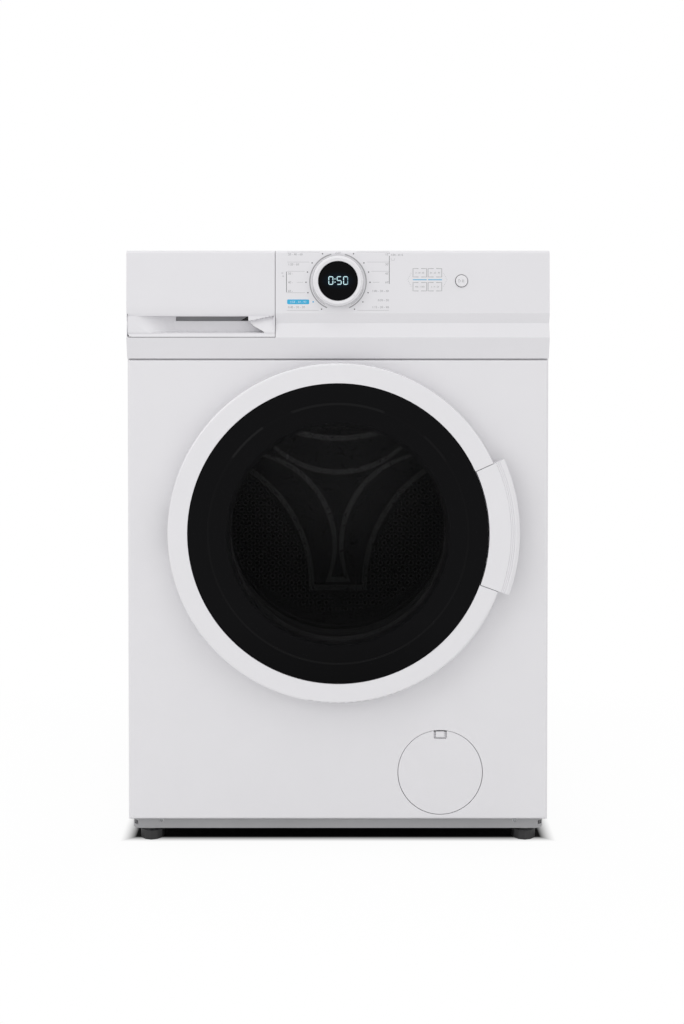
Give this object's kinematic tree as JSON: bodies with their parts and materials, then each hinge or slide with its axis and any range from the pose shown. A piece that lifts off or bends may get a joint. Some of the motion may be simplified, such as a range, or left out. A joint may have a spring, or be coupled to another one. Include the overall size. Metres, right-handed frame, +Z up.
{
  "type": "front load washing machine",
  "caption": "Freestanding front load washing machine with round door, dispenser drawer, programme knob, sprung tub and turning drum.",
  "frame": {"origin": "on the floor under the middle of the outer box", "axes": "+Z up, the front faces -Y, +X to the viewer's right"},
  "size_m": [0.595, 0.527, 0.85],
  "materials": {
    "body_white": "satin",
    "panel_white": "satin",
    "trim_white": "gloss",
    "cover_black": "gloss",
    "clear_glass": "clear",
    "rubber_grey": "matte",
    "rubber_dark": "matte",
    "plinth_grey": "satin",
    "tub_plastic": "satin",
    "drawer_grey": "satin",
    "siphon_blue": "satin",
    "zinc": "metal",
    "stainless": "brushed",
    "cast_aluminium": "cast",
    "cast_iron": "rough",
    "board_dark": "matte",
    "laminate": "satin",
    "black_plastic": "satin"
  },
  "bodies": {
    "cabinet": {"cabinet_shell": "body_white", "back_panel": "zinc", "service_cover": "body_white", "worktop": "laminate", "front_panel": "body_white", "base_frame": "plinth_grey", "top_rails": "zinc", "control_panel": "panel_white", "display_lens": "cover_black", "control_board": "board_dark", "drawer_housing": "panel_white", "hinge_bracket": "zinc", "door_lock": "black_plastic", "door_gasket": "rubber_grey", "filter_frame": "panel_white", "pump_housing": "tub_plastic", "sump_hose": "rubber_dark", "dispenser_hose": "rubber_dark", "spring_left": "zinc", "spring_right": "zinc", "damper_pins": "zinc", "inlet_valve": "panel_white", "drain_outlet": "tub_plastic", "transit_caps": "tub_plastic"},
    "knob": {"program_knob": "trim_white"},
    "start_key": {"start_button": "trim_white"},
    "drawer": {"drawer_front": "panel_white", "drawer_tray": "drawer_grey", "drawer_siphon": "siphon_blue"},
    "door": {"door_ring": "trim_white", "door_glass": "cover_black", "door_inner_frame": "panel_white", "door_bowl": "clear_glass", "door_hinge": "cast_aluminium"},
    "lever": {"door_handle": "trim_white"},
    "latch": {"door_hook": "zinc"},
    "flap": {"filter_flap": "panel_white"},
    "filter": {"pump_filter_cap": "drawer_grey"},
    "impeller": {"pump_impeller": "black_plastic"},
    "tub": {"tub_front": "tub_plastic", "tub_rear": "tub_plastic", "weight_upper": "cast_iron", "weight_lower": "cast_iron", "heater": "stainless", "bearings": "stainless", "motor": "cast_aluminium", "drive_belt": "rubber_dark"},
    "drum": {"drum": "stainless", "drum_lifters": "tub_plastic", "drum_spider": "cast_aluminium", "drum_pulley": "cast_aluminium"},
    "rotor": {"motor_pulley": "stainless"},
    "damper_tube_left_body": {"damper_tube_left": "black_plastic"},
    "damper_rod_left_body": {"damper_rod_left": "zinc"},
    "foot_front_left_body": {"foot_front_left": "rubber_dark"},
    "foot_rear_left_body": {"foot_rear_left": "rubber_dark"},
    "damper_tube_right_body": {"damper_tube_right": "black_plastic"},
    "damper_rod_right_body": {"damper_rod_right": "zinc"},
    "foot_front_right_body": {"foot_front_right": "rubber_dark"},
    "foot_rear_right_body": {"foot_rear_right": "rubber_dark"}
  },
  "joints": [
    {"name": "door_swing", "type": "hinge", "parent": "cabinet", "child": "door", "pos_m": [-0.224, -0.25, 0.455], "axis": [0, 0, -1], "range_deg": [0, 150]},
    {"name": "handle_pull", "type": "hinge", "parent": "door", "child": "lever", "pos_m": [0.193, -0.2545, 0.455], "axis": [0, 0, -1], "range_deg": [0, 8], "stiffness_Nm_per_rad": 0.8, "springref_deg": -5.73},
    {"name": "latch_turn", "type": "hinge", "parent": "door", "child": "latch", "pos_m": [0.188, -0.2405, 0.455], "axis": [0, 0, 1], "range_deg": [0, 8]},
    {"name": "drawer_slide", "type": "slide", "parent": "cabinet", "child": "drawer", "axis": [0, -1, 0], "range_m": [0, 0.24]},
    {"name": "knob_turn", "type": "hinge", "parent": "cabinet", "child": "knob", "pos_m": [0, -0.2455, 0.8075], "axis": [0, -1, 0], "continuous": true},
    {"name": "start_press", "type": "slide", "parent": "cabinet", "child": "start_key", "axis": [0, 1, 0], "range_m": [0, 0.0015], "stiffness_N_per_m": 600, "springref_m": -0.0008},
    {"name": "flap_pull", "type": "slide", "parent": "cabinet", "child": "flap", "axis": [0, -1, 0], "range_m": [0, 0.035]},
    {"name": "filter_turn", "type": "hinge", "parent": "cabinet", "child": "filter", "pos_m": [0.145, -0.2115, 0.11], "axis": [0, -1, 0], "continuous": true},
    {"name": "impeller_spin", "type": "hinge", "parent": "cabinet", "child": "impeller", "pos_m": [0.145, -0.1545, 0.11], "axis": [0, -1, 0], "continuous": true},
    {"name": "tub_bounce", "type": "slide", "parent": "cabinet", "child": "tub", "axis": [0, 0, 1], "range_m": [-0.012, 0.008], "stiffness_N_per_m": 20000, "springref_m": 0.01727, "deforming": ["door_gasket", "dispenser_hose", "sump_hose", "spring_left", "spring_right"]},
    {"name": "drum_spin", "type": "hinge", "parent": "tub", "child": "drum", "pos_m": [0, -0.0315, 0.455], "axis": [0, -1, 0], "continuous": true},
    {"name": "motor_spin", "type": "hinge", "parent": "tub", "child": "rotor", "pos_m": [0, 0.1965, 0.128], "axis": [0, -1, 0], "continuous": true},
    {"name": "damper_swing_left", "type": "hinge", "parent": "cabinet", "child": "damper_tube_left_body", "pos_m": [-0.25, 0.0185, 0.088], "axis": [0, -1, 0], "range_deg": [-2.39, 1.69]},
    {"name": "damper_stroke_left", "type": "slide", "parent": "damper_tube_left_body", "child": "damper_rod_left_body", "axis": [0.5084, 0, 0.8611], "range_m": [-0.01113, 0.00769]},
    {"name": "damper_swing_right", "type": "hinge", "parent": "cabinet", "child": "damper_tube_right_body", "pos_m": [0.25, 0.0185, 0.088], "axis": [0, 1, 0], "range_deg": [-2.39, 1.69]},
    {"name": "damper_stroke_right", "type": "slide", "parent": "damper_tube_right_body", "child": "damper_rod_right_body", "axis": [-0.5084, 0, 0.8611], "range_m": [-0.01113, 0.00769]},
    {"name": "foot_turn_front_left", "type": "hinge", "parent": "cabinet", "child": "foot_front_left_body", "pos_m": [-0.27, -0.1815, 0.02], "axis": [0, 0, 1], "continuous": true},
    {"name": "foot_turn_rear_left", "type": "hinge", "parent": "cabinet", "child": "foot_rear_left_body", "pos_m": [-0.27, 0.1985, 0.02], "axis": [0, 0, 1], "continuous": true},
    {"name": "foot_turn_front_right", "type": "hinge", "parent": "cabinet", "child": "foot_front_right_body", "pos_m": [0.27, -0.1815, 0.02], "axis": [0, 0, 1], "continuous": true},
    {"name": "foot_turn_rear_right", "type": "hinge", "parent": "cabinet", "child": "foot_rear_right_body", "pos_m": [0.27, 0.1985, 0.02], "axis": [0, 0, 1], "continuous": true}
  ],
  "couplings": [
    {"joint": "latch_turn", "follows": "handle_pull", "ratio": 1},
    {"joint": "motor_spin", "follows": "drum_spin", "ratio": 10.833},
    {"joint": "damper_swing_left", "follows": "tub_bounce", "rad_per_m": 3.0408},
    {"joint": "damper_stroke_left", "follows": "tub_bounce", "ratio": 0.86112},
    {"joint": "damper_swing_right", "follows": "tub_bounce", "rad_per_m": 3.0408},
    {"joint": "damper_stroke_right", "follows": "tub_bounce", "ratio": 0.86112}
  ]
}
